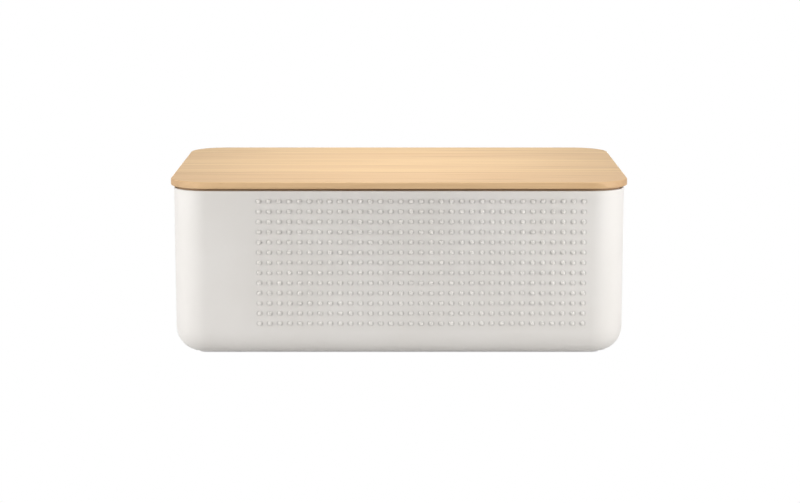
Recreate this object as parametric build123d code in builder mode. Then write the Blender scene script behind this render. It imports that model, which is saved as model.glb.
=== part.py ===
"""Bread box: a moulded body with raised dots on its front, and a lift-off lid of edge-glued staves.

Millimetres. +Z is up, -Y is the front, and the origin is on the table under the middle of the box.
"""

import os

from build123d import *

# Moulded body
body_length = 365.0
body_depth = 225.0
body_height = 135.0
body_corner_radius = 27.5
wall_thickness = 4.0
floor_thickness = 4.0
base_round = 20.0

# Rim: a thinner upstand round the mouth, with the ledge that carries the lid inside it
rim_thickness = 1.8
ledge_drop = 4.0
rim_chamfer = 0.5

# Raised dots, in rows and columns on the flat of the front wall
dot_diameter = 4.2
dot_height = 1.3
dot_facets = 6
dot_column_pitch = 8.14
dot_row_pitch = 8.3
dot_side_margin = 7.0
dot_base_margin = 7.0
dot_rim_margin = 8.0
plain_panel_width = 42.0

# Lid: a board with an overhanging edge and a raised panel that drops into the mouth
lid_overhang = 2.5
lid_edge_thickness = 5.5
lid_top_chamfer = 0.8
lid_under_chamfer = 0.5
shadow_gap = 2.0
panel_clearance = 0.6
panel_chamfer = 0.5
stave_count = 11

# Feet, set into round seats in the underside
foot_diameter = 14.0
foot_thickness = 2.2
foot_seat_depth = 1.2
foot_seat_clearance = 0.1
foot_inset = 6.0

# Levels
base_z = foot_thickness - foot_seat_depth
rim_z = base_z + body_height
ledge_z = rim_z - ledge_drop
floor_z = base_z + floor_thickness
lid_under_z = rim_z + shadow_gap

# Plan sizes that follow from the ones above
mouth_length = body_length - 2 * rim_thickness
mouth_depth = body_depth - 2 * rim_thickness
mouth_corner_radius = body_corner_radius - rim_thickness
cavity_length = body_length - 2 * wall_thickness
cavity_depth = body_depth - 2 * wall_thickness
cavity_corner_radius = body_corner_radius - wall_thickness
floor_round = base_round - wall_thickness
panel_length = mouth_length - 2 * panel_clearance
panel_depth = mouth_depth - 2 * panel_clearance
panel_corner_radius = mouth_corner_radius - panel_clearance
lid_length = body_length + 2 * lid_overhang
lid_depth = body_depth + 2 * lid_overhang
lid_corner_radius = body_corner_radius + lid_overhang

# The dot field ends dot_side_margin short of the right corner, and leaves the plain panel free on the left
front_flat_length = body_length - 2 * body_corner_radius
dot_field_length = front_flat_length - plain_panel_width - dot_side_margin
dot_field_height = body_height - base_round - dot_base_margin - dot_rim_margin
dot_columns = int(dot_field_length / dot_column_pitch) + 1
dot_rows = int(dot_field_height / dot_row_pitch) + 1
dot_field_x = front_flat_length / 2 - dot_side_margin - (dot_columns - 1) * dot_column_pitch / 2
dot_field_z = base_z + base_round + dot_base_margin + (dot_rows - 1) * dot_row_pitch / 2

# The front wall, as a plane through the middle of the dot field, facing out
front_wall = Plane(origin=(dot_field_x, -body_depth / 2, dot_field_z), x_dir=(1, 0, 0), z_dir=(0, -1, 0))

foot_x = body_length / 2 - base_round - foot_inset - foot_diameter / 2
foot_y = body_depth / 2 - base_round - foot_inset - foot_diameter / 2


def lowest_edges(builder):
    """The edges round the bottom face of a part under construction."""
    return builder.faces().sort_by(Axis.Z)[0].edges()


# The hollow of the box, with a rounded floor
with BuildPart() as cavity:
    with BuildSketch(Plane.XY.offset(floor_z)):
        RectangleRounded(cavity_length, cavity_depth, cavity_corner_radius)
    extrude(amount=rim_z - floor_z)
    fillet(lowest_edges(cavity), floor_round)

with BuildPart() as plain_body:
    # Outside, with a rounded lower edge
    with BuildSketch(Plane.XY.offset(base_z)):
        RectangleRounded(body_length, body_depth, body_corner_radius)
    extrude(amount=body_height)
    fillet(lowest_edges(plain_body), base_round)

    # Hollow, and the wider mouth above the ledge
    add(cavity.part, mode=Mode.SUBTRACT)
    with BuildSketch(Plane.XY.offset(rim_z)):
        RectangleRounded(mouth_length, mouth_depth, mouth_corner_radius)
    extrude(amount=-ledge_drop, mode=Mode.SUBTRACT)

    # Softened outer edge of the rim
    rim_face = plain_body.faces().sort_by(Axis.Z)[-1]
    chamfer(rim_face.outer_wire().edges(), rim_chamfer)

    # Seats for the feet
    with BuildSketch(Plane.XY.offset(base_z)):
        with GridLocations(2 * foot_x, 2 * foot_y, 2, 2):
            Circle(foot_diameter / 2 + foot_seat_clearance)
    extrude(amount=foot_seat_depth, mode=Mode.SUBTRACT)

# One raised dot, a low point on a many-sided foot, in the middle of the dot field
with BuildPart() as dot:
    with BuildSketch(front_wall) as dot_foot:
        RegularPolygon(dot_diameter / 2, dot_facets)
    loft([dot_foot.sketch, Vertex(front_wall.offset(dot_height).origin)], ruled=True)

# The dots are moulded in one with the wall: the front face is opened at the foot of each dot, and the dot's
# sides close it again
front_face = plain_body.faces().filter_by(front_wall).sort_by(Axis.Y)[0]
foot_face = dot.faces().sort_by(Axis.Y)[-1]
dot_sides = dot.faces().sort_by(Axis.Y)[:-1]
dot_grid = GridLocations(dot_column_pitch, dot_row_pitch, dot_columns, dot_rows)
dot_moves = [Location(front_wall.from_local_coords(spot.position) - front_wall.origin) for spot in dot_grid]
dot_feet = [foot_face.outer_wire().moved(move) for move in dot_moves]
outer_faces = [Face(front_face.outer_wire(), dot_feet)]
outer_faces += [face for face in plain_body.faces() if not face.is_same(front_face)]
outer_faces += [side.moved(move) for move in dot_moves for side in dot_sides]

with BuildPart() as body:
    add(Solid(Shell(outer_faces)), clean=False)

body.part.label = "body"

# The whole lid board, before it is divided into its staves
with BuildPart() as board:
    with BuildSketch(Plane.XY.offset(lid_under_z)):
        RectangleRounded(lid_length, lid_depth, lid_corner_radius)
    extrude(amount=lid_edge_thickness)
    chamfer(board.faces().sort_by(Axis.Z)[-1].edges(), lid_top_chamfer)
    chamfer(lowest_edges(board), lid_under_chamfer)
    with BuildSketch(Plane.XY.offset(lid_under_z)):
        RectangleRounded(panel_length, panel_depth, panel_corner_radius)
    extrude(amount=-(lid_under_z - ledge_z))
    chamfer(lowest_edges(board), panel_chamfer)

# Staves, from the front to the back: each is what the board holds between two glue lines
staves = []
stave_width = lid_depth / stave_count
for number in range(1, stave_count + 1):
    with BuildPart() as stave:
        add(board.part)
        back_line = Plane.XZ.offset(lid_depth / 2 - number * stave_width)
        front_line = back_line.offset(stave_width)
        if number < stave_count:
            split(bisect_by=back_line, keep=Keep.TOP)
        if number > 1:
            split(bisect_by=front_line, keep=Keep.BOTTOM)
    stave.part.label = f"lid_stave_{number:02d}"
    staves.append(stave.part)

# Feet
feet = []
for front_or_back, side_y in (("front", -1), ("back", 1)):
    for left_or_right, side_x in (("left", -1), ("right", 1)):
        with BuildPart() as foot:
            with BuildSketch():
                with Locations((side_x * foot_x, side_y * foot_y)):
                    Circle(foot_diameter / 2)
            extrude(amount=foot_thickness)
        foot.part.label = f"foot_{front_or_back}_{left_or_right}"
        feet.append(foot.part)

os.makedirs("parts", exist_ok=True)
for piece in [body.part, *staves, *feet]:
    export_step(piece, f"parts/{piece.label}.step")
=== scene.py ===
"""Dresses the bread box: a satin moulded body with domed dots, an oiled lid of staves, and silicone feet.

Every piece is a numpy surface in metres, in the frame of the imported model. The origin is on the table under
the middle of the box, -Y is the front and +Z is up.
"""

import logging
import math
from collections.abc import Mapping, Sequence
from dataclasses import dataclass
from enum import Enum
from typing import Any, Union

import bmesh
import bpy
import numpy as np
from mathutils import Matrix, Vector
from mathutils.geometry import delaunay_2d_cdt


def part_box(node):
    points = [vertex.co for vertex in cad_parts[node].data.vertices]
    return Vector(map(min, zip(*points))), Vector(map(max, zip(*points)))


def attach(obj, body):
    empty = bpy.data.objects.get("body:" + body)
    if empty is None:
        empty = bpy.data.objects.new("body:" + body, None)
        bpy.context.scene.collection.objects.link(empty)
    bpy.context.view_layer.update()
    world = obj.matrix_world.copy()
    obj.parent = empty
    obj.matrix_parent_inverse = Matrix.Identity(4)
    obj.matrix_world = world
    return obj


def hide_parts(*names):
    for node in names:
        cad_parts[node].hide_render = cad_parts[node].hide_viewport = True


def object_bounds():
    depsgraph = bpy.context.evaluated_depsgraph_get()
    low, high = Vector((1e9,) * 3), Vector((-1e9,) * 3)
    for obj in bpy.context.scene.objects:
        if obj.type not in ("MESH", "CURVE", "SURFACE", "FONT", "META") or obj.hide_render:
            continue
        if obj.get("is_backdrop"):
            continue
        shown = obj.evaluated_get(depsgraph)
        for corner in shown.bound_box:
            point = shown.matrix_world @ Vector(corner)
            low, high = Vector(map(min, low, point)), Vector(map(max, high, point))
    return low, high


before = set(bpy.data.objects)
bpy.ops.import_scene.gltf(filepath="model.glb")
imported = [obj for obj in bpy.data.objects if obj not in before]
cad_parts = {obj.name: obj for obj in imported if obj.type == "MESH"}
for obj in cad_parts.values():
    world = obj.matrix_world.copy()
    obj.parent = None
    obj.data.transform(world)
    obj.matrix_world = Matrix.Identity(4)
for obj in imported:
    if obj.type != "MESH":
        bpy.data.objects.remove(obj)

LOG = logging.getLogger("bread_box")
MM = 0.001
IMAGE_WIDTH = 800
WHITE = (1.0, 1.0, 1.0, 1.0)

# Points nearer than this are one point
SAME_PLACE = 1e-9

Colour = tuple[float, float, float]
Point = tuple[float, float, float]


class Carrier(Enum):
    """The bodies that pieces move with."""

    BOX = "box"
    LID = "lid"


class Slot(Enum):
    """The record's material slots."""

    PLASTIC = "body_plastic"
    WOOD = "lid_wood"
    SILICONE = "foot_silicone"


class FootPlace(Enum):
    """The four feet, by their signs along X and Y."""

    FRONT_LEFT = (-1, -1)
    FRONT_RIGHT = (1, -1)
    BACK_LEFT = (-1, 1)
    BACK_RIGHT = (1, 1)


# Shader graphs


class Value:
    """A number that changes over a surface: a socket whose arithmetic adds Math nodes."""

    def __init__(self, graph: "Graph", socket: bpy.types.NodeSocket) -> None:
        """Keep the graph and the output socket that gives the number."""
        self.graph = graph
        self.socket = socket

    def math(self, operation: str, *operands: "Number") -> "Value":
        """Add one Math node.

        Args:
            operation: The Math node's operation.
            operands: Its inputs, in order.

        Returns:
            The node's result.
        """
        node = self.graph.node("ShaderNodeMath", {"operation": operation}, dict(enumerate(operands)))
        return Value(self.graph, node.outputs[0])

    def __add__(self, other: "Number") -> "Value":
        """This plus other."""
        return self.math("ADD", self, other)

    def __radd__(self, other: "Number") -> "Value":
        """Other plus this."""
        return self.math("ADD", other, self)

    def __sub__(self, other: "Number") -> "Value":
        """This minus other."""
        return self.math("SUBTRACT", self, other)

    def __rsub__(self, other: "Number") -> "Value":
        """Other minus this."""
        return self.math("SUBTRACT", other, self)

    def __mul__(self, other: "Number") -> "Value":
        """This times other."""
        return self.math("MULTIPLY", self, other)

    def __rmul__(self, other: "Number") -> "Value":
        """Other times this."""
        return self.math("MULTIPLY", other, self)

    def __truediv__(self, other: "Number") -> "Value":
        """This divided by other."""
        return self.math("DIVIDE", self, other)

    def __pow__(self, other: "Number") -> "Value":
        """This to the power of other."""
        return self.math("POWER", self, other)

    def __abs__(self) -> "Value":
        """The size of this number, without its sign."""
        return self.math("ABSOLUTE", self)

    def floor(self) -> "Value":
        """The whole number at or below this one."""
        return self.math("FLOOR", self)

    def fract(self) -> "Value":
        """What is left above the whole number."""
        return self.math("FRACT", self)

    def at_least(self, other: "Number") -> "Value":
        """The larger of this and other."""
        return self.math("MAXIMUM", self, other)

    def at_most(self, other: "Number") -> "Value":
        """The smaller of this and other."""
        return self.math("MINIMUM", self, other)

    def rise(self, low: float, high: float) -> "Value":
        """Add a smooth step.

        Args:
            low: Where the step starts.
            high: Where it ends.

        Returns:
            0 up to low, 1 from high on, and a smooth curve between them.
        """
        node = self.graph.node(
            "ShaderNodeMapRange",
            {"interpolation_type": "SMOOTHSTEP"},
            {"Value": self, "From Min": low, "From Max": high},
        )
        return Value(self.graph, node.outputs["Result"])


Number = Union[Value, float]


class Graph:
    """A node tree with one way to add a node."""

    def __init__(self, tree: bpy.types.NodeTree) -> None:
        """Start from an empty tree."""
        self.tree = tree
        tree.nodes.clear()

    def node(
        self, kind: str, settings: Mapping[str, Any] | None = None, inputs: Mapping[Any, Any] | None = None
    ) -> bpy.types.Node:
        """Add a node.

        Args:
            kind: The node's type.
            settings: Its properties, set before the inputs.
            inputs: Values or links of its input sockets, by name or place.

        Returns:
            The node.
        """
        node = self.tree.nodes.new(kind)
        for name, setting in (settings or {}).items():
            setattr(node, name, setting)
        for name, source in (inputs or {}).items():
            if isinstance(source, Value):
                source = source.socket
            if isinstance(source, bpy.types.NodeSocket):
                self.tree.links.new(source, node.inputs[name])
            else:
                node.inputs[name].default_value = source
        return node

    def value(self, node: bpy.types.Node, output: Union[str, int] = 0) -> Value:
        """One of a node's outputs as a number to reckon with."""
        return Value(self, node.outputs[output])

    def place(self) -> bpy.types.NodeSocket:
        """The object's own coordinates, in metres."""
        return self.node("ShaderNodeTexCoord").outputs["Object"]

    def facing(self) -> bpy.types.NodeSocket:
        """The way that the object's surface faces."""
        return self.node("ShaderNodeTexCoord").outputs["Normal"]

    def axes(self, vector: bpy.types.NodeSocket) -> tuple[Value, Value, Value]:
        """The three parts of a vector."""
        split = self.node("ShaderNodeSeparateXYZ", inputs={"Vector": vector})
        return self.value(split, "X"), self.value(split, "Y"), self.value(split, "Z")

    def vector(self, operation: str, first: Any, second: Any) -> bpy.types.NodeSocket:
        """One Vector Math node over two vectors."""
        return self.node("ShaderNodeVectorMath", {"operation": operation}, {0: first, 1: second}).outputs[0]

    def noise(
        self, vector: bpy.types.NodeSocket, scale: float, detail: float = 2.0, rough: float = 0.5
    ) -> Value:
        """Add a noise texture.

        Args:
            vector: Where it is read.
            scale: Its cells per unit of the vector.
            detail: Its octaves.
            rough: The share that each further octave keeps.

        Returns:
            A number about 0.5.
        """
        inputs = {"Vector": vector, "Scale": scale, "Detail": detail, "Roughness": rough}
        return self.value(self.node("ShaderNodeTexNoise", inputs=inputs), "Fac")

    def stretched(
        self, vector: bpy.types.NodeSocket, cells: Point, detail: float, rough: float = 0.5
    ) -> Value:
        """Add a noise texture with its own cell size along each axis.

        Args:
            vector: Where it is read.
            cells: Its cells per metre along X, Y and Z.
            detail: Its octaves.
            rough: The share that each further octave keeps.

        Returns:
            A number about 0.5.
        """
        return self.noise(self.vector("MULTIPLY", vector, cells), 1.0, detail, rough)

    def blend(self, factor: Number, first: Any, second: Any) -> bpy.types.NodeSocket:
        """Add a colour Mix node.

        Args:
            factor: 0 gives the first colour and 1 the second.
            first: A colour or a colour socket.
            second: A colour or a colour socket.

        Returns:
            The mixed colour.
        """
        colours = [(*c, 1.0) if isinstance(c, tuple) else c for c in (first, second)]
        inputs = {0: factor, 6: colours[0], 7: colours[1]}
        return self.node("ShaderNodeMix", {"data_type": "RGBA"}, inputs).outputs[2]

    def bump(self, height: Value, strength: float, distance: float) -> bpy.types.NodeSocket:
        """A Bump node over a height, for a shader's Normal."""
        inputs = {"Height": height, "Strength": strength, "Distance": distance}
        return self.node("ShaderNodeBump", inputs=inputs).outputs["Normal"]

    def surface(self, shader: bpy.types.NodeSocket, kind: str = "ShaderNodeOutputMaterial") -> None:
        """Lead a shader to the output."""
        self.node(kind, inputs={"Surface": shader})


# Finishes


def blank_material(name: str) -> tuple[bpy.types.Material, Graph]:
    """Make a material with nothing in it.

    Args:
        name: Its name.

    Returns:
        The material, and the empty graph of its nodes.
    """
    material = bpy.data.materials.new(name)
    material.use_nodes = True
    return material, Graph(material.node_tree)


@dataclass(frozen=True)
class SatinPlastic:
    """Off-white moulded plastic with a fine mould texture, and painted shade at the two sides of each dot's
    foot.

    Attributes:
        dots: The raised dots on its front.
        front: Y of the front wall.
        colour: The plastic's own colour.
        shade: The colour of its slightly duller patches.
        scuff: The colour of the faint rubbing round the base.
        dust_and_painted_shade: The colour of the painted shade at the two sides of each dot's foot.
        painted_shade_start: Where the painted shade starts and is full, from a dot's middle.
        painted_shade_end: Where the painted shade thins and is gone, from a dot's middle.
        scuff_height: The height that the rubbing reaches.
        scuff_strength: How much of the scuff's colour the rubbed specks show.
        roughness: The middle roughness.
        specular: The strength of its reflections.
        texture_scale: Cells of the mould texture per metre.
        texture_depth: The depth of the mould texture.
        texture_strength: How much of the mould texture's relief shows.
        patch_scale: Cells of the duller patches per metre.
        speck_scale: Cells of the rubbed specks per metre.
    """

    dots: "DotField"
    front: float
    colour: Colour = (0.830, 0.802, 0.768)
    shade: Colour = (0.806, 0.776, 0.738)
    scuff: Colour = (0.760, 0.727, 0.684)
    # Painted shade: a darker colour at the two sides of each dot's foot, standing for the domes' shadows
    dust_and_painted_shade: Colour = (0.620, 0.597, 0.568)
    painted_shade_start: tuple[float, float] = (0.9 * MM, 1.7 * MM)
    painted_shade_end: tuple[float, float] = (2.0 * MM, 3.2 * MM)
    scuff_height: float = 26 * MM
    scuff_strength: float = 0.35
    roughness: float = 0.45
    specular: float = 0.42
    texture_scale: float = 2600.0
    texture_depth: float = 0.04 * MM
    texture_strength: float = 0.05
    patch_scale: float = 14.0
    speck_scale: float = 420.0

    def painted_dot_shade(self, x: Value, y: Value, z: Value) -> Value:
        """How much painted shade lies at a place: most at the two sides of a dot's foot, and none off the dot
        field.

        The painted shade stands for the dots' shadows. It is a guess, which gives the dots the crisp dark
        sides that they have in the photograph. It is a ring about the nearest dot times the square of (the
        distance aside / the whole distance). Both distances come from how far the place lies from the middle
        of its column and its row.

        Args:
            x: The place along the front.
            y: The place from front to back.
            z: The place up the front.

        Returns:
            A number from 0 to 1.
        """
        dots = self.dots
        along = (x - dots.right) / dots.column_pitch + 0.5
        up = (z - dots.bottom) / dots.row_pitch + 0.5
        aside = abs(along.fract() - 0.5) * dots.column_pitch
        above = abs(up.fract() - 0.5) * dots.row_pitch
        away = (aside * aside + above * above) ** 0.5
        ring = away.rise(*self.painted_shade_start) * (1.0 - away.rise(*self.painted_shade_end))
        column, row = along.floor(), up.floor()
        on_columns = column.rise(-dots.columns, 1.0 - dots.columns) * (1.0 - column.rise(0.0, 1.0))
        on_rows = row.rise(-1.0, 0.0) * (1.0 - row.rise(dots.rows - 1.0, dots.rows))
        on_front = 1.0 - y.rise(self.front + 0.5 * MM, self.front + 1.5 * MM)
        return ring * (aside / away) ** 2.0 * on_columns * on_rows * on_front

    def build(self) -> bpy.types.Material:
        """Make the material.

        Returns:
            A material on object coordinates.
        """
        material, graph = blank_material("satin_plastic")
        place = graph.place()
        x, y, height = graph.axes(place)
        patches = graph.noise(place, self.patch_scale, 3.0)
        specks = graph.noise(place, self.speck_scale, 4.0, 0.6)
        texture = graph.noise(place, self.texture_scale)
        near_floor = 1.0 - height.rise(2 * MM, self.scuff_height)
        rubbed = near_floor * specks.rise(0.52, 0.72) * self.scuff_strength
        plain = graph.blend(patches.rise(0.35, 0.7), self.colour, self.shade)
        # Painted shade: the colour darkens at the two sides of each dot's foot, where the domes' shadows fall
        with_painted_shade = graph.blend(self.painted_dot_shade(x, y, height), plain, self.dust_and_painted_shade)
        colour = graph.blend(rubbed, with_painted_shade, self.scuff)
        roughness = self.roughness + (patches - 0.5) * 0.10 + rubbed * 0.3
        shader = graph.node(
            "ShaderNodeBsdfPrincipled",
            inputs={
                "Base Color": colour,
                "Roughness": roughness,
                "Normal": graph.bump(texture, self.texture_strength, self.texture_depth),
                "Specular IOR Level": self.specular,
            },
        )
        graph.surface(shader.outputs[0])
        return material


@dataclass(frozen=True)
class OiledWood:
    """Pale close-grained wood in edge-glued staves, with the grain along X, and painted shade under the
    board's edge.

    Attributes:
        stave_width: The width of one stave along Y.
        front_edge: The board's front edge along Y.
        staves: How many staves the board has.
        rebate_top: The height of the underside of the board's edge, up to which the shade is painted.
        pale: The lightest wood.
        middle: The wood between the growth lines.
        warm: The wood of the redder staves and bands.
        dark: The growth lines and flecks.
        glue: The hairlines between the staves.
        end_grain: The wood where it is cut across the grain.
        painted_gap_shade: The colour of the painted shade on the step under the board's edge and on the panel
            below it, where the gap over the rim lies in shadow.
        roughness: The middle roughness.
        specular: The strength of its reflections.
        grain_depth: The depth of the grain.
        grain_strength: How much of the grain's relief shows.
        vein_strength: How much of the dark wood the veins show.
        fleck_strength: The same for the flecks.
        fibre_strength: The same for the fibres.
        glue_strength: How much of the glue's colour the hairlines show.
        end_strength: How much of the end grain's colour the cut ends show.
        painted_gap_shade_strength: How much of the painted shade's colour the step and the panel show.
        rings_across: Growth lines per metre across a stave.
        rings_deep: Growth lines per metre through its thickness.
        drift_cells: Cells per metre of the slow noise that bends the growth lines, along X, Y and Z.
        fibre_cells: The same for the fibres.
        streak_cells: The same for the streaks.
        band_cells: The same for the broad bands.
        vein_cells: The same for the veins.
        fleck_cells: The same for the short flecks.
    """

    stave_width: float
    front_edge: float
    staves: int
    rebate_top: float
    pale: Colour = (0.868, 0.614, 0.341)
    middle: Colour = (0.812, 0.558, 0.298)
    warm: Colour = (0.781, 0.522, 0.285)
    dark: Colour = (0.620, 0.390, 0.194)
    glue: Colour = (0.470, 0.290, 0.150)
    end_grain: Colour = (0.560, 0.350, 0.185)
    # Painted shade in the shadowed gap under the board's edge
    painted_gap_shade: Colour = (0.360, 0.225, 0.122)
    roughness: float = 0.52
    specular: float = 0.30
    grain_depth: float = 0.08 * MM
    grain_strength: float = 0.22
    vein_strength: float = 0.55
    fleck_strength: float = 0.38
    fibre_strength: float = 0.20
    glue_strength: float = 0.40
    end_strength: float = 0.80
    painted_gap_shade_strength: float = 0.90
    rings_across: float = 150.0
    rings_deep: float = 95.0
    drift_cells: Point = (2.2, 26.0, 26.0)
    fibre_cells: Point = (24.0, 2100.0, 2100.0)
    streak_cells: Point = (5.0, 330.0, 330.0)
    band_cells: Point = (6.0, 95.0, 95.0)
    vein_cells: Point = (7.0, 200.0, 200.0)
    fleck_cells: Point = (150.0, 1500.0, 1500.0)

    def build(self) -> bpy.types.Material:
        """Make the material.

        Returns:
            A material on object coordinates, in which each stave has a tone and a grain of its own.
        """
        material, graph = blank_material("oiled_wood")
        place = graph.place()
        _, back, height = graph.axes(place)
        across = (back - self.front_edge) / self.stave_width
        across = across.at_least(0.05).at_most(self.staves - 0.05)
        own = graph.node("ShaderNodeTexWhiteNoise", {"noise_dimensions": "1D"}, {"W": across.floor() + 0.37})
        tone = graph.value(own, "Value")
        shift = graph.vector("MULTIPLY", own.outputs["Color"], (2.3, 0.4, 0.9))
        wood = graph.vector("ADD", place, shift)

        # Growth lines: a height across the stave, bent by a slow noise that is long in the grain's direction
        drift = graph.stretched(wood, self.drift_cells, 2.0)
        _, wide, deep = graph.axes(wood)
        rings = (wide * self.rings_across + deep * self.rings_deep + drift * 5.5).fract()
        late = rings.rise(0.45, 0.96) * (1.0 - rings.rise(0.96, 1.0))

        # Fibres, streaks and short flecks, all stretched along the grain
        fibres = graph.stretched(wood, self.fibre_cells, 3.0, 0.6)
        streaks = graph.stretched(wood, self.streak_cells, 3.0, 0.55)
        bands = graph.stretched(wood, self.band_cells, 2.0)
        veins = graph.stretched(wood, self.vein_cells, 1.0).rise(0.53, 0.70)
        flecks = graph.stretched(wood, self.fleck_cells, 1.0).rise(0.66, 0.78)
        hairline = abs(across.fract() - 0.5).rise(0.490, 0.498)
        cut_across = abs(graph.axes(graph.facing())[0]).rise(0.1, 0.9)
        # Painted shade: all wood below the underside of the board's edge is darkened, standing for the shadow
        # in the gap over the rim
        painted_gap_shade_mask = 1.0 - height.rise(self.rebate_top, self.rebate_top + 0.3 * MM)

        light = graph.blend(streaks.rise(0.3, 0.7), self.pale, self.middle)
        toned = graph.blend((tone * 0.45 + bands * 0.55).rise(0.30, 0.72), light, self.warm)
        ringed = graph.blend(late * (0.08 + 0.12 * tone), toned, self.dark)
        veined = graph.blend(veins * self.vein_strength, ringed, self.dark)
        flecked = graph.blend(flecks * self.fleck_strength, veined, self.dark)
        fibred = graph.blend(fibres.rise(0.5, 0.8) * self.fibre_strength, flecked, self.dark)
        glued = graph.blend(hairline * self.glue_strength, fibred, self.glue)
        ended = graph.blend(cut_across * self.end_strength, glued, self.end_grain)
        # Painted shade under the board's edge, laid over the rest of the colour
        colour = graph.blend(painted_gap_shade_mask * self.painted_gap_shade_strength, ended, self.painted_gap_shade)
        relief = fibres * 0.6 + streaks * 0.4 - late * 0.35 - flecks * 0.5 - hairline * 0.8
        shader = graph.node(
            "ShaderNodeBsdfPrincipled",
            inputs={
                "Base Color": colour,
                "Roughness": self.roughness + (fibres - 0.5) * 0.16 + late * 0.06,
                "Normal": graph.bump(relief, self.grain_strength, self.grain_depth),
                "Specular IOR Level": self.specular,
            },
        )
        graph.surface(shader.outputs[0])
        return material


@dataclass(frozen=True)
class MatteSilicone:
    """Translucent grey silicone with a powdery bloom.

    Attributes:
        colour: The clean silicone.
        bloom: The powdery patches.
        roughness: The middle roughness.
        dust_scale: Cells of the powder per metre.
        cloud_scale: Cells per metre of the patches that the powder gathers in.
        dust_depth: The depth of the powder.
        dust_strength: How much of the powder's relief shows.
    """

    colour: Colour = (0.700, 0.700, 0.680)
    bloom: Colour = (0.610, 0.605, 0.585)
    roughness: float = 0.72
    dust_scale: float = 700.0
    cloud_scale: float = 160.0
    dust_depth: float = 0.05 * MM
    dust_strength: float = 0.15

    def build(self) -> bpy.types.Material:
        """Make the material.

        Returns:
            A material on object coordinates.
        """
        material, graph = blank_material("matte_silicone")
        place = graph.place()
        dust_and_painted_shade = graph.noise(place, self.dust_scale, 4.0, 0.6)
        clouds = graph.noise(place, self.cloud_scale)
        shader = graph.node(
            "ShaderNodeBsdfPrincipled",
            inputs={
                "Base Color": graph.blend((dust_and_painted_shade * clouds * 2.0).rise(0.35, 0.75), self.colour, self.bloom),
                "Roughness": self.roughness + (clouds - 0.5) * 0.2,
                "Normal": graph.bump(dust_and_painted_shade, self.dust_strength, self.dust_depth),
            },
        )
        graph.surface(shader.outputs[0])
        return material


@dataclass(frozen=True)
class PaleFloor:
    """A white floor that takes the object's shadow and fades to plain white away from it.

    Attributes:
        half_length: Half the length of the object's flat underside along X.
        half_depth: Half the depth of the flat underside along Y.
        colour: The floor's own colour.
        grain: The colour of its slightly darker patches.
        grain_scale: Cells of the patches per metre.
        fade_end: Where the floor is plain white, from the edge of the underside.
    """

    half_length: float
    half_depth: float
    colour: Colour = (0.80, 0.80, 0.80)
    grain: Colour = (0.78, 0.78, 0.78)
    grain_scale: float = 30.0
    fade_end: float = 5.5 * MM

    def build(self) -> bpy.types.Material:
        """Make the material.

        Returns:
            A diffuse floor, which the camera and clear reflections see as white far from the object.
        """
        material, graph = blank_material("pale_floor")
        place = graph.place()
        along, back, _ = graph.axes(place)
        beside = (abs(along) - self.half_length).at_least(0.0)
        behind = (abs(back) - self.half_depth).at_least(0.0)
        away = (beside * beside + behind * behind) ** 0.5
        patches = graph.noise(place, self.grain_scale)
        colour = graph.blend(patches.rise(0.3, 0.7) * 0.5, self.colour, self.grain)
        diffuse = graph.node("ShaderNodeBsdfDiffuse", inputs={"Color": colour})
        white = graph.node("ShaderNodeEmission", inputs={"Color": WHITE, "Strength": 1.0})
        fade = away.rise(0.0, self.fade_end) * seen_directly(graph)
        mix = graph.node("ShaderNodeMixShader", inputs={0: fade, 1: diffuse.outputs[0], 2: white.outputs[0]})
        graph.surface(mix.outputs[0])
        return material


def seen_directly(graph: Graph) -> Value:
    """Tell the rays that show a background from those that light the object.

    Args:
        graph: The graph that gets the Light Path node.

    Returns:
        1 for camera, glossy and transmission rays, else 0.
    """
    path = graph.node("ShaderNodeLightPath")
    camera, glossy, through = (
        graph.value(path, f"Is {kind} Ray") for kind in ("Camera", "Glossy", "Transmission")
    )
    return camera.at_least(glossy).at_least(through)


# Surfaces


@dataclass(frozen=True)
class Outline:
    """A smooth open outline in a plane.

    Attributes:
        points: Its points, as (outward, height) rows.
        normals: The unit normal on its right-hand side at each point.
    """

    points: np.ndarray
    normals: np.ndarray

    @classmethod
    def rounded(cls, corners: Sequence[Sequence[float]], radii: Sequence[float], steps: int = 6) -> "Outline":
        """Draw straight sides between corners and round the inner corners with arcs.

        An arc of radius r that turns by t touches its two sides r x tan(t / 2) from the corner, and its
        heading goes evenly from that of the first side to that of the second. The normal is the heading
        turned a quarter to the right. A corner where the outline goes straight on leaves one point.

        Args:
            corners: The corners, in order, as (outward, height).
            radii: A radius for each corner but the first and the last.
            steps: Points on each arc.

        Returns:
            The outline, with no point twice.
        """
        corner = np.asarray(corners, dtype=float)
        side = np.diff(corner, axis=0)
        heading = np.unwrap(np.arctan2(side[:, 1], side[:, 0]))
        turn = np.diff(heading)
        radius = np.asarray(radii, dtype=float)
        reach = radius * np.tan(np.abs(turn) / 2)
        along = np.stack([np.cos(heading), np.sin(heading)], axis=-1)
        right = np.stack([np.sin(heading), -np.cos(heading)], axis=-1)
        start = corner[1:-1] - reach[:, None] * along[:-1]
        arc_heading = heading[:-1, None] + turn[:, None] * np.linspace(0.0, 1.0, steps)
        arc_right = np.stack([np.sin(arc_heading), -np.cos(arc_heading)], axis=-1)
        swing = (np.sign(turn) * radius)[:, None, None]
        arc = start[:, None, :] + swing * (arc_right - right[:-1, None, :])
        points = np.concatenate([corner[:1], arc.reshape(-1, 2), corner[-1:]])
        normals = np.concatenate([right[:1], arc_right.reshape(-1, 2), right[-1:]])
        step = np.linalg.norm(np.diff(points, axis=0, prepend=points[:1] - 1.0), axis=1)
        fresh = step > SAME_PLACE
        return cls(points[fresh], normals[fresh])


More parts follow.
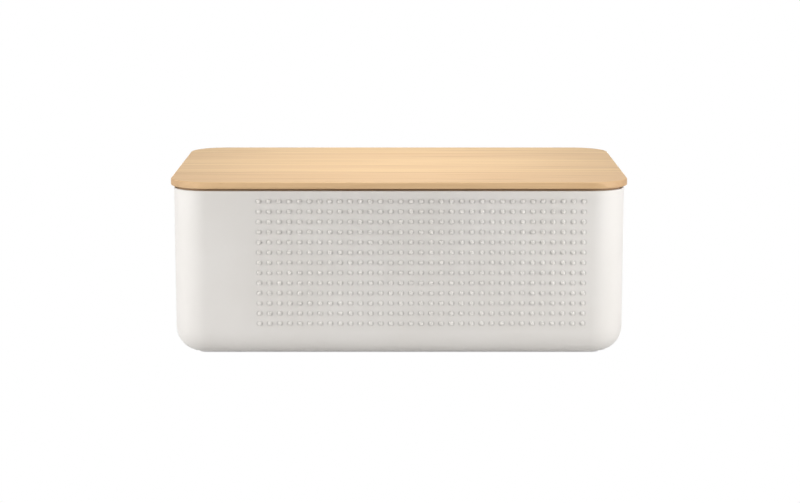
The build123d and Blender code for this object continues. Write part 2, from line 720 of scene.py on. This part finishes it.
@dataclass(frozen=True)
class Plan:
    """A closed path seen from above, anticlockwise.

    Each of its steps has a point of an inner line and an outward direction.

    Attributes:
        anchors: Points of the inner line, as (x, y) rows.
        outward: Unit directions away from it.
    """

    anchors: np.ndarray
    outward: np.ndarray

    @classmethod
    def circle(cls, x: float, y: float, steps: int) -> "Plan":
        """Make a full turn about one point.

        Args:
            x: The point along X.
            y: The point along Y.
            steps: Parts of the turn.

        Returns:
            The plan, from the direction of +X.
        """
        angle = np.linspace(0.0, 2 * np.pi, steps, endpoint=False)
        outward = np.stack([np.cos(angle), np.sin(angle)], axis=-1)
        return cls(np.broadcast_to([x, y], outward.shape), outward)

    @classmethod
    def rounded_box(cls, along: np.ndarray, back: np.ndarray, corner_steps: int) -> "Plan":
        """Go round a box whose corners are rounded.

        The inner line is the rectangle of the corner arcs' centres. A straight side keeps one direction and
        moves its point, and a corner keeps its point and turns its direction by a quarter.

        Args:
            along: X of the steps on the front and back sides, from the left arc's centre to the right one's.
            back: Y of the steps on the left and right sides, from front to back.
            corner_steps: Parts that each corner's quarter turn is divided into.

        Returns:
            The plan, from the left end of the front side.
        """
        quarter = np.linspace(0.0, np.pi / 2, corner_steps + 1)[1:-1]
        ends_x, ends_y = along[[0, -1]], back[[0, -1]]

        def straight(x: np.ndarray, y: np.ndarray, direction: float) -> np.ndarray:
            """Rows of x, y and heading angle along one side."""
            return np.stack(np.broadcast_arrays(x, y, direction), axis=-1)

        def turned(x: float, y: float, direction: float) -> np.ndarray:
            """Rows of x, y and heading angle round one corner."""
            return np.stack(np.broadcast_arrays(x, y, direction + quarter), axis=-1)

        rows = np.concatenate([
            straight(along, ends_y[0], -np.pi / 2),
            turned(ends_x[1], ends_y[0], -np.pi / 2),
            straight(ends_x[1], back, 0.0),
            turned(ends_x[1], ends_y[1], 0.0),
            straight(along[::-1], ends_y[1], np.pi / 2),
            turned(ends_x[0], ends_y[1], np.pi / 2),
            straight(ends_x[0], back[::-1], np.pi),
            turned(ends_x[0], ends_y[0], np.pi),
        ])
        return cls(rows[:, :2], np.stack([np.cos(rows[:, 2]), np.sin(rows[:, 2])], axis=-1))


class Surface:
    """Points with their normals, and the faces between them, gathered from patches."""

    def __init__(self) -> None:
        """Start with nothing."""
        self.points: list[np.ndarray] = []
        self.normals: list[np.ndarray] = []
        self.quads: list[np.ndarray] = []
        self.triangles: list[np.ndarray] = []
        self.count = 0

    def add(self, points: np.ndarray, normals: np.ndarray) -> np.ndarray:
        """Take in points.

        Args:
            points: Places, with x, y and z on the last axis.
            normals: Outward unit normals in the same layout.

        Returns:
            The points' indices, in their layout.
        """
        layout = points.shape[:-1]
        size = int(np.prod(layout))
        self.points.append(points.reshape(-1, 3))
        self.normals.append(np.broadcast_to(normals, points.shape).reshape(-1, 3))
        index = np.arange(self.count, self.count + size).reshape(layout)
        self.count += size
        return index

    def carry(self, outline: Outline, plan: Plan, radius: float) -> np.ndarray:
        """Carry an outline round a plan.

        A point lies at the plan's anchor plus its outward direction times (radius + the outline's outward
        part), at the outline's height. Its normal is the outline's normal turned the same way.

        Args:
            outline: The section, with the air on its right.
            plan: The way round.
            radius: The distance from the anchors at which the outline's outward part is 0.

        Returns:
            Indices of the points, a row for each point of the outline and a column for each step of the plan.
        """
        reach = (radius + outline.points[:, 0])[:, None, None]
        flat = plan.anchors[None] + reach * plan.outward[None]
        height = np.broadcast_to(outline.points[:, 1][:, None, None], (*flat.shape[:2], 1))
        lean = outline.normals[:, 0][:, None, None] * plan.outward[None]
        lift = np.broadcast_to(outline.normals[:, 1][:, None, None], (*lean.shape[:2], 1))
        return self.add(np.concatenate([flat, height], axis=-1), np.concatenate([lean, lift], axis=-1))

    def skin(self, index: np.ndarray, keep: np.ndarray | None = None) -> None:
        """Lay quads between neighbouring rows and columns, the last column with the first.

        Args:
            index: Indices whose last two axes are rows and columns.
            keep: Which of the quads are laid, all where it is left out.
        """
        index = np.concatenate([index, index[..., :1]], axis=-1)
        quads = np.stack(
            [index[..., :-1, :-1], index[..., :-1, 1:], index[..., 1:, 1:], index[..., 1:, :-1]], axis=-1
        )
        self.quads.append(quads[keep] if keep is not None else quads.reshape(-1, 4))

    def cap(self, ring: np.ndarray, pole: np.ndarray) -> None:
        """Lay triangles from closed rings to their poles.

        Args:
            ring: Indices of the rings, each anticlockwise on the last axis as seen from outside.
            pole: The index of each ring's pole.
        """
        following = np.roll(ring, -1, axis=-1)
        fan = np.stack([ring, following, np.broadcast_to(pole[..., None], ring.shape)], axis=-1)
        self.triangles.append(fan.reshape(-1, 3))

    def disc(self, ring: np.ndarray, plan: Plan, height: float, facing_up: bool) -> None:
        """Close a level ring with a flat disc about the one point of its plan.

        Args:
            ring: Indices of the ring, anticlockwise as seen from above.
            plan: The ring's plan, a circle.
            height: The ring's height.
            facing_up: Whether the disc faces up.
        """
        middle = np.array([*plan.anchors[0], height])
        pole = self.add(middle, np.array([0.0, 0.0, 1.0 if facing_up else -1.0]))
        self.cap(ring if facing_up else ring[::-1], pole)

    def plate(self, rim: np.ndarray, holes: Sequence[np.ndarray] = (), facing_up: bool = True) -> None:
        """Fill a level rim with flat triangles, free of the holes.

        Args:
            rim: Indices of the closed edge.
            holes: Indices of the closed edges of the holes in it.
            facing_up: Whether the plate faces up.
        """
        loops = [rim, *holes]
        index = np.concatenate(loops)
        places = np.concatenate(self.points)[index, :2]
        ends = np.cumsum([len(loop) for loop in loops])
        faces = [list(range(end - len(loop), end)) for loop, end in zip(loops, ends)]
        spots = [Vector(place) for place in places]
        _, _, found, _, _, owners = delaunay_2d_cdt(spots, [], faces, 1, SAME_PLACE)
        inside = np.array([owner == [0] for owner in owners])
        triangles = index[np.array(found)[inside]]
        self.triangles.append(triangles if facing_up else triangles[:, ::-1])

    def mesh(self, name: str) -> bpy.types.Mesh:
        """Make the mesh.

        Args:
            name: Its name.

        Returns:
            A smooth mesh with the patches' own normals and no loose points.
        """
        quads = np.concatenate(self.quads)
        triangles = np.concatenate(self.triangles)
        used, packed = np.unique(np.concatenate([quads.ravel(), triangles.ravel()]), return_inverse=True)
        quads = packed[: quads.size].reshape(-1, 4)
        triangles = packed[packed.size - triangles.size :].reshape(-1, 3)
        mesh = bpy.data.meshes.new(name)
        mesh.from_pydata(np.concatenate(self.points)[used], [], quads.tolist() + triangles.tolist())
        mesh.validate()
        mesh.shade_smooth()
        mesh.normals_split_custom_set_from_vertices(np.concatenate(self.normals)[used])
        mesh.update()
        return mesh


def piece(mesh: bpy.types.Mesh, material: bpy.types.Material) -> bpy.types.Object:
    """Put a mesh into the scene.

    Args:
        mesh: The mesh, which lies where it belongs.
        material: Its finish.

    Returns:
        An object at the origin with the mesh's name.
    """
    made = bpy.data.objects.new(mesh.name, mesh)
    mesh.materials.append(material)
    bpy.context.scene.collection.objects.link(made)
    return made


def settle(made: bpy.types.Object, carrier: Carrier, slot: Slot, *nodes: str) -> None:
    """Let a piece ride, hide the CAD nodes that it stands for, and report it with their names.

    Args:
        made: The piece.
        carrier: The body that it moves with.
        slot: The record's material slot; not used.
        nodes: The CAD nodes that it replaces.
    """
    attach(made, carrier.value)
    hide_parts(*nodes)
    LOG.info("%s: %d faces, for %s", made.name, len(made.data.polygons), ", ".join(nodes))


# Sub-assemblies


@dataclass(frozen=True)
class Feet:
    """Round silicone pads in seats in the underside.

    Attributes:
        radius: Half a pad's diameter.
        thickness: A pad's height.
        x: The distance of the pads' middles from the middle of the box along X.
        y: The same along Y.
        edge: The round of a pad's lower edge.
        steps: Points round a pad.
    """

    radius: float
    thickness: float
    x: float
    y: float
    edge: float = 0.5 * MM
    steps: int = 48

    @classmethod
    def from_frame(cls) -> "Feet":
        """Read the pads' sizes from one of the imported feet."""
        low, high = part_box("foot_back_right")
        return cls((high.x - low.x) / 2, high.z - low.z, (high.x + low.x) / 2, (high.y + low.y) / 2)

    def plan(self, place: FootPlace) -> Plan:
        """The way round one foot."""
        side_x, side_y = place.value
        return Plan.circle(side_x * self.x, side_y * self.y, self.steps)

    def build(self, material: bpy.types.Material) -> None:
        """Make the pads.

        A pad is a rounded outline turned about its own upright axis, with a flat disc below and above.

        Args:
            material: The pads' finish.
        """
        middle = self.radius / 3
        outline = Outline.rounded(
            [(middle, 0.0), (self.radius, 0.0), (self.radius, self.thickness), (middle, self.thickness)],
            [self.edge, self.edge / 2],
        )
        for place in FootPlace:
            surface = Surface()
            plan = self.plan(place)
            rings = surface.carry(outline, plan, 0.0)
            surface.skin(rings)
            surface.disc(rings[0], plan, 0.0, facing_up=False)
            surface.disc(rings[-1], plan, self.thickness, facing_up=True)
            name = place.name.lower()
            pad = piece(surface.mesh(f"pad_{name}"), material)
            settle(pad, Carrier.BOX, Slot.SILICONE, f"foot_{name}")


@dataclass(frozen=True)
class DotField:
    """Domed dots in rows and columns on the front wall.

    Attributes:
        right: X of the last column.
        bottom: Z of the lowest row.
        columns: Dots along the front.
        rows: Dots up the front.
        column_pitch: Distance between columns.
        row_pitch: Distance between rows.
        radius: Half the diameter of a dome at its foot.
        height: The height of a dome.
        fullness: The power of the dome's section: 2 is an ellipse, and more is fuller at the shoulder.
        foot_round: The width of the hollow round at its foot.
        ring_turns: Where a dome's rings lie on its section, in degrees from the foot.
    """

    right: float
    bottom: float
    columns: int = 33
    rows: int = 13
    column_pitch: float = 8.14 * MM
    row_pitch: float = 8.3 * MM
    radius: float = 1.85 * MM
    height: float = 2.0 * MM
    fullness: float = 2.0
    foot_round: float = 0.15 * MM
    ring_turns: tuple[float, ...] = (14.0, 40.0, 66.0)

    # A cell is three parts wide and three high. Its edge is taken anticlockwise, from low on the right side
    EDGE_COLUMNS = np.array([3, 3, 3, 2, 1, 0, 0, 0, 0, 1, 2, 3])
    EDGE_ROWS = np.array([1, 2, 3, 3, 3, 3, 2, 1, 0, 0, 0, 0])
    PARTS = 3

    def middles(self) -> tuple[np.ndarray, np.ndarray]:
        """Place the dots.

        Returns:
            X of the columns from the left, and Z of the rows from below.
        """
        x = self.right - self.column_pitch * np.arange(self.columns)[::-1]
        z = self.bottom + self.row_pitch * np.arange(self.rows)
        return x, z

    def lines(self) -> tuple[np.ndarray, np.ndarray]:
        """Divide the field into cells of three parts each way.

        Returns:
            X and Z of the dividing lines, from the left and from below.
        """
        x, z = self.middles()
        along = np.arange(self.columns * self.PARTS + 1) / self.PARTS - 0.5
        up = np.arange(self.rows * self.PARTS + 1) / self.PARTS - 0.5
        return x[0] + along * self.column_pitch, z[0] + up * self.row_pitch

    def raise_dots(self, surface: Surface, wall: np.ndarray, front: float) -> None:
        """Fill the cells of the wall with domes.

        A dome's section is a superellipse: its spread is radius x cos(t) ^ (2 / fullness) and its lift is
        height x sin(t) ^ (2 / fullness). Rings about its middle, towards the cell's twelve edge points, lead
        from the flat wall over a hollow round at the foot up to the top.

        Args:
            surface: The surface that holds the wall.
            wall: Indices of the wall's points on the field's lines, a row for each line in Z.
            front: Y of the wall.
        """
        x, z = (grid.ravel() for grid in np.meshgrid(*self.middles()))
        first_column, first_row = (
            self.PARTS * grid.ravel() for grid in np.meshgrid(np.arange(self.columns), np.arange(self.rows))
        )
        edge = wall[first_row[:, None] + self.EDGE_ROWS, first_column[:, None] + self.EDGE_COLUMNS]

        turn = np.radians(self.ring_turns)
        power = 2 / self.fullness
        spread = np.concatenate([[self.radius + self.foot_round], self.radius * np.cos(turn) ** power])
        lift = np.concatenate([[0.0], self.height * np.sin(turn) ** power])
        outward = np.cos(turn) ** (2 - power) / self.radius
        forward = np.sin(turn) ** (2 - power) / self.height
        slope = np.concatenate([[0.0], np.arctan2(outward, forward)])

        spokes = len(self.EDGE_ROWS)
        angle = np.radians(360.0 / spokes * (np.arange(spokes) - 0.5))
        shape = (len(x), len(slope), len(angle))
        ring_x = x[:, None, None] + spread[:, None] * np.cos(angle)
        ring_y = np.broadcast_to(front - lift[:, None], shape)
        ring_z = z[:, None, None] + spread[:, None] * np.sin(angle)
        lean = np.sin(slope)[:, None]
        normals = np.stack(
            np.broadcast_arrays(lean * np.cos(angle), -np.cos(slope)[:, None], lean * np.sin(angle)), axis=-1
        )
        rings = surface.add(np.stack([ring_x, ring_y, ring_z], axis=-1), normals)
        tops = surface.add(
            np.stack([x, np.full_like(x, front - self.height), z], axis=-1), np.array([0.0, -1.0, 0.0])
        )
        surface.skin(np.concatenate([edge[:, None, :], rings], axis=1))
        surface.cap(rings[:, -1], tops)


@dataclass(frozen=True)
class BodyShell:
    """The moulded body: one skin from the underside over the wall and the stepped rim to the floor inside.

    Attributes:
        low: The lowest corner of the plain body.
        high: The highest corner of the plain body.
        feet: The feet, which sit in seats in the underside.
        corner_radius: The radius of the upright corners.
        base_round: The radius of the lower edge.
        wall: The wall's and the floor's thickness.
        rim: The thickness of the upstand round the mouth.
        ledge_drop: The depth of the ledge below the rim.
        rim_round: The round of the rim's outer edge.
        edge_round: The round of the rim's and the ledge's other edges.
        dot_side_margin: The distance from the last column of dots to the right corner's round.
        dot_base_margin: The distance from the lowest row of dots to the lower edge's round.
        seat_clearance: The gap round a foot in its seat.
        flat_margin: The flat stretch that the section keeps past its rounds.
        corner_steps: Parts of each upright corner.
        panel_steps: Points along the front's plain panel, left of the dots.
        side_steps: Points along each end.
        arc_steps: Points on each round of the section.
    """

    low: Vector
    high: Vector
    feet: Feet
    corner_radius: float = 27.5 * MM
    base_round: float = 20.0 * MM
    wall: float = 4.0 * MM
    rim: float = 1.8 * MM
    ledge_drop: float = 4.0 * MM
    rim_round: float = 0.6 * MM
    edge_round: float = 0.4 * MM
    dot_side_margin: float = 7.0 * MM
    dot_base_margin: float = 7.0 * MM
    seat_clearance: float = 0.1 * MM
    flat_margin: float = 0.5 * MM
    corner_steps: int = 24
    panel_steps: int = 8
    side_steps: int = 24
    arc_steps: int = 9

    @classmethod
    def from_frame(cls, feet: Feet) -> "BodyShell":
        """Read the body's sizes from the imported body, whose dots stand out of its front."""
        low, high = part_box("body")
        return cls(Vector((low.x, -high.y, low.z)), high, feet)

    def dots(self) -> DotField:
        """The dot field, placed from the right corner and from the lower edge."""
        right = self.high.x - self.corner_radius - self.dot_side_margin
        return DotField(right, self.low.z + self.base_round + self.dot_base_margin)

    def plan(self, dots: DotField) -> Plan:
        """Go round the body.

        Args:
            dots: The dot field.

        Returns:
            The way round, with steps on the dot field's lines along the front and the back.
        """
        reach_x = self.high.x - self.corner_radius
        reach_y = self.high.y - self.corner_radius
        lines = dots.lines()[0]
        plain = np.linspace(-reach_x, lines[0], self.panel_steps)[:-1]
        along = np.concatenate([plain, lines, [reach_x]])
        return Plan.rounded_box(along, np.linspace(-reach_y, reach_y, self.side_steps), self.corner_steps)

    def outline(self, dots: DotField) -> Outline:
        """Draw the body's section.

        It goes from the underside round the lower edge, up the outside with a point on each of the dot
        field's lines, over the rim, down to the ledge, down the inside and round to the floor.

        Args:
            dots: The dot field.

        Returns:
            The section, with outward parts measured from the outer wall.
        """
        base, top = self.low.z, self.high.z
        ledge, floor = top - self.ledge_drop, base + self.wall
        flat = -self.base_round - self.flat_margin
        lines = dots.lines()[1]
        wall_line = np.stack([np.zeros_like(lines), lines], axis=-1)
        corners = [
            (flat, base),
            (0.0, base),
            *wall_line,
            (0.0, top),
            (-self.rim, top),
            (-self.rim, ledge),
            (-self.wall, ledge),
            (-self.wall, floor),
            (flat, floor),
        ]
        radii = [
            self.base_round,
            *np.zeros_like(lines),
            self.rim_round,
            self.edge_round,
            self.edge_round,
            self.edge_round,
            self.base_round - self.wall,
        ]
        return Outline.rounded(corners, radii, self.arc_steps)

    def seat_outline(self) -> Outline:
        """Draw the section of a foot's seat.

        Returns:
            The section, from the seat's ceiling to the underside, measured from the foot's axis.
        """
        radius = self.feet.radius + self.seat_clearance
        base, ceiling = self.low.z, self.feet.thickness
        return Outline.rounded(
            [(radius / 3, ceiling), (radius, ceiling), (radius, base), (radius + self.flat_margin, base)],
            [self.edge_round / 4, self.edge_round / 2],
        )

    def build(self, material: bpy.types.Material) -> None:
        """Make the body.

        Args:
            material: Its finish.
        """
        dots = self.dots()
        outline = self.outline(dots)
        plan = self.plan(dots)
        surface = Surface()
        skin = surface.carry(outline, plan, self.corner_radius)

        # The dot field's part of the front wall is left open for the domes
        lines_x, lines_z = dots.lines()
        off_wall = ~np.isclose(outline.points[:, 0], 0.0)
        off_front = plan.outward[:, 1] > -1.0
        first_row = int(np.argmin(np.abs(outline.points[:, 1] - lines_z[0]) + off_wall))
        first_column = int(np.argmin(np.abs(plan.anchors[:, 0] - lines_x[0]) + off_front))
        rows = slice(first_row, first_row + len(lines_z))
        columns = slice(first_column, first_column + len(lines_x))
        keep = np.ones((skin.shape[0] - 1, skin.shape[1]), dtype=bool)
        keep[rows.start : rows.stop - 1, columns.start : columns.stop - 1] = False
        surface.skin(skin, keep=keep)
        dots.raise_dots(surface, skin[rows, columns], self.low.y)

        # Underside with the seats, and the floor inside
        seat_rims = []
        for place in FootPlace:
            seat_plan = self.feet.plan(place)
            seat = surface.carry(self.seat_outline(), seat_plan, 0.0)
            surface.skin(seat)
            surface.disc(seat[0], seat_plan, self.feet.thickness, facing_up=False)
            seat_rims.append(seat[-1])
        surface.plate(skin[0], seat_rims, facing_up=False)
        surface.plate(skin[-1])
        settle(piece(surface.mesh("moulded_body"), material), Carrier.BOX, Slot.PLASTIC, "body")


@dataclass(frozen=True)
class BoardLid:
    """The lid: a board of edge-glued staves with an overhanging edge and a panel that drops into the mouth.

    Attributes:
        low: The lowest corner of the whole board.
        high: The highest corner of the whole board.
        staves: The CAD nodes of the staves, from front to back.
        edge_thickness: The thickness of the overhanging edge.
        corner_radius: The radius of the upright corners.
        panel_inset: The distance from the board's edge to the panel's.
        top_round: The radius of the upper arris.
        under_round: The radius of the lower arris.
        panel_round: The radius of the panel's arris and of the corner above it.
        plate_inset: How far in from the board's edge the flat plates start.
        corner_steps: Parts of each upright corner.
        length_steps: Points along each long side.
        depth_steps: Points along each end.
        arc_steps: Points on each round of the section.
        sharp_angle: The angle between faces, in degrees, from which a sawn edge is sharp.
    """

    low: Vector
    high: Vector
    staves: tuple[str, ...]
    edge_thickness: float = 5.5 * MM
    corner_radius: float = 30.0 * MM
    panel_inset: float = 4.9 * MM
    top_round: float = 1.1 * MM
    under_round: float = 0.6 * MM
    panel_round: float = 0.5 * MM
    plate_inset: float = 12.25 * MM
    corner_steps: int = 30
    length_steps: int = 24
    depth_steps: int = 12
    arc_steps: int = 7
    sharp_angle: float = 35.0

    @classmethod
    def from_frame(cls) -> "BoardLid":
        """Read the board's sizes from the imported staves.

        Returns:
            The lid, with its staves in order.
        """
        staves = tuple(sorted(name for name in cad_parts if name.startswith("lid_stave")))
        corners = np.array([[tuple(corner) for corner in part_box(name)] for name in staves])
        return cls(Vector(corners[:, 0].min(axis=0)), Vector(corners[:, 1].max(axis=0)), staves)

    def stave_width(self) -> float:
        """The width of one stave along Y."""
        return (self.high.y - self.low.y) / len(self.staves)

    def board(self) -> bpy.types.Mesh:
        """Make the whole board.

        Its section goes from the panel's underside up to the overhanging edge and over the arris to the top,
        and is carried round the rounded plan. Flat plates close the panel's underside and the top.

        Returns:
            A closed mesh.
        """
        edge_under = self.high.z - self.edge_thickness
        outline = Outline.rounded(
            [
                (-self.plate_inset, self.low.z),
                (-self.panel_inset, self.low.z),
                (-self.panel_inset, edge_under),
                (0.0, edge_under),
                (0.0, self.high.z),
                (-self.plate_inset, self.high.z),
            ],
            [self.panel_round, self.panel_round, self.under_round, self.top_round],
            self.arc_steps,
        )
        reach_x = self.high.x - self.corner_radius
        reach_y = self.high.y - self.corner_radius
        along = np.linspace(-reach_x, reach_x, self.length_steps)
        back = np.linspace(-reach_y, reach_y, self.depth_steps)
        plan = Plan.rounded_box(along, back, self.corner_steps)
        surface = Surface()
        skin = surface.carry(outline, plan, self.corner_radius)
        surface.skin(skin)
        surface.plate(skin[0], facing_up=False)
        surface.plate(skin[-1])
        return surface.mesh("board")

    def saw(self, board: bpy.types.Mesh, number: int) -> bpy.types.Mesh:
        """Cut one stave out of the board with two upright planes along X, and close the cuts.

        Args:
            board: The whole board.
            number: The stave's place, from 0 at the front.

        Returns:
            The stave, with sharp sawn edges.
        """
        cut = bmesh.new()
        cut.from_mesh(board)
        width = self.stave_width()
        glue_lines = []
        if number > 0:
            glue_lines.append((self.low.y + number * width, -1.0))
        if number < len(self.staves) - 1:
            glue_lines.append((self.low.y + (number + 1) * width, 1.0))
        for y, away in glue_lines:
            every = [*cut.verts, *cut.edges, *cut.faces]
            bmesh.ops.bisect_plane(
                cut, geom=every, plane_co=(0.0, y, 0.0), plane_no=(0.0, away, 0.0), clear_outer=True
            )
            bmesh.ops.holes_fill(cut, edges=[edge for edge in cut.edges if edge.is_boundary], sides=0)
        bmesh.ops.recalc_face_normals(cut, faces=cut.faces)
        stave = bpy.data.meshes.new(f"stave_{number + 1:02d}")
        cut.to_mesh(stave)
        cut.free()
        stave.shade_smooth()
        stave.set_sharp_from_angle(angle=math.radians(self.sharp_angle))
        return stave

    def build(self, material: bpy.types.Material) -> None:
        """Make the staves.

        Args:
            material: Their finish.
        """
        board = self.board()
        for number, node in enumerate(self.staves):
            stave = piece(self.saw(board, number), material)
            shading = stave.modifiers.new("flat_faces_lead", "WEIGHTED_NORMAL")
            shading.keep_sharp = True
            settle(stave, Carrier.LID, Slot.WOOD, node)
        bpy.data.meshes.remove(board)


@dataclass(frozen=True)
class Softbox:
    """A rectangular studio lamp.

    Attributes:
        name: Its name.
        place: Where it stands.
        aim: The point that it faces.
        width: Its width.
        height: Its height.
        power: Its power in watts.
        spread: The angle of its beam in degrees, which a grid narrows.
    """

    name: str
    place: Point
    aim: Point
    width: float
    height: float
    power: float
    spread: float = 180.0

    def build(self) -> None:
        """Put the lamp into the scene."""
        lamp = bpy.data.lights.new(self.name, "AREA")
        lamp.shape = "RECTANGLE"
        lamp.size = self.width
        lamp.size_y = self.height
        lamp.energy = self.power
        lamp.spread = math.radians(self.spread)
        made = bpy.data.objects.new(self.name, lamp)
        made.location = self.place
        made.rotation_euler = (Vector(self.aim) - made.location).to_track_quat("-Z", "Y").to_euler()
        made.visible_camera = False
        bpy.context.scene.collection.objects.link(made)


@dataclass(frozen=True)
class Studio:
    """The camera, the lamps, the floor and the world.

    Attributes:
        focal_pixels: The camera's focal length in pixels of the photograph's frame.
        camera_place: Where the camera stands.
        camera_pitch: How far it looks below the horizon, in degrees.
        ambient: The strength of the world's light.
        floor_reach: Half the floor's side.
        underside_inset: How far the flat underside stands back from the object's outline.
        softboxes: The lamps.
    """

    focal_pixels: float = 2154.4
    camera_place: Point = (0.0008, -1.8183, 0.3785)
    camera_pitch: float = 9.699
    ambient: float = 0.05
    floor_reach: float = 12.0
    underside_inset: float = 26.5 * MM
    softboxes: tuple[Softbox, ...] = (
        Softbox("left_rim_light", (-0.44, -0.36, 0.17), (0.0, -0.12, 0.08), 0.20, 0.18, 0.62),
        Softbox("right_rim_light", (0.44, -0.36, 0.17), (0.0, -0.12, 0.08), 0.20, 0.18, 0.70),
        Softbox("left_grazing_light", (-1.20, -0.24, 0.28), (0.0, -0.11, 0.08), 0.14, 0.24, 3.7),
        Softbox("right_grazing_light", (1.20, -0.24, 0.28), (0.0, -0.11, 0.08), 0.14, 0.24, 3.4),
        Softbox("front_softbox", (0.0, -1.90, 1.45), (0.0, 0.0, 0.07), 0.80, 0.80, 9.8),
        Softbox("top_softbox", (0.0, 0.0, 0.80), (0.0, 0.0, 0.14), 0.26, 0.50, 0.76, 70.0),
        Softbox("back_softbox", (0.0, 1.30, 0.09), (0.0, 0.11, 0.08), 0.90, 0.08, 5.0),
    )

    def build_camera(self) -> None:
        """Put up the camera at the photograph's angle."""
        lens = bpy.data.cameras.new("camera")
        lens.sensor_fit = "HORIZONTAL"
        lens.lens = lens.sensor_width * self.focal_pixels / IMAGE_WIDTH
        made = bpy.data.objects.new("camera", lens)
        made.location = self.camera_place
        made.rotation_euler = (math.radians(90.0 - self.camera_pitch), 0.0, 0.0)
        bpy.context.scene.collection.objects.link(made)
        bpy.context.scene.camera = made

    def build_world(self) -> None:
        """Light the scene evenly, and show white where nothing stands."""
        world = bpy.data.worlds.new("studio")
        world.use_nodes = True
        graph = Graph(world.node_tree)
        strength = self.ambient + (1.0 - self.ambient) * seen_directly(graph)
        light = graph.node("ShaderNodeBackground", inputs={"Color": WHITE, "Strength": strength})
        graph.surface(light.outputs[0], "ShaderNodeOutputWorld")
        bpy.context.scene.world = world

    def build_floor(self) -> None:
        """Lay the floor under the object."""
        low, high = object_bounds()
        half = (high - low) / 2
        finish = PaleFloor(half.x - self.underside_inset, half.y - self.underside_inset)
        reach = self.floor_reach
        mesh = bpy.data.meshes.new("floor")
        corners = [(-reach, -reach, 0.0), (reach, -reach, 0.0), (reach, reach, 0.0), (-reach, reach, 0.0)]
        mesh.from_pydata(corners, [], [(0, 1, 2, 3)])
        piece(mesh, finish.build())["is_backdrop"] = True

    def build(self) -> None:
        """Set up the whole studio."""
        bpy.context.scene.view_settings.view_transform = "Standard"
        self.build_camera()
        self.build_world()
        self.build_floor()
        for softbox in self.softboxes:
            softbox.build()


def main() -> None:
    """Build the bread box and its studio."""
    logging.basicConfig(level=logging.INFO, format="%(name)s: %(message)s")
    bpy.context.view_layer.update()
    feet = Feet.from_frame()
    lid = BoardLid.from_frame()
    feet.build(MatteSilicone().build())
    shell = BodyShell.from_frame(feet)
    shell.build(SatinPlastic(shell.dots(), shell.low.y).build())
    wood = OiledWood(lid.stave_width(), lid.low.y, len(lid.staves), lid.high.z - lid.edge_thickness)
    lid.build(wood.build())
    Studio().build()


if __name__ == "__main__":
    main()
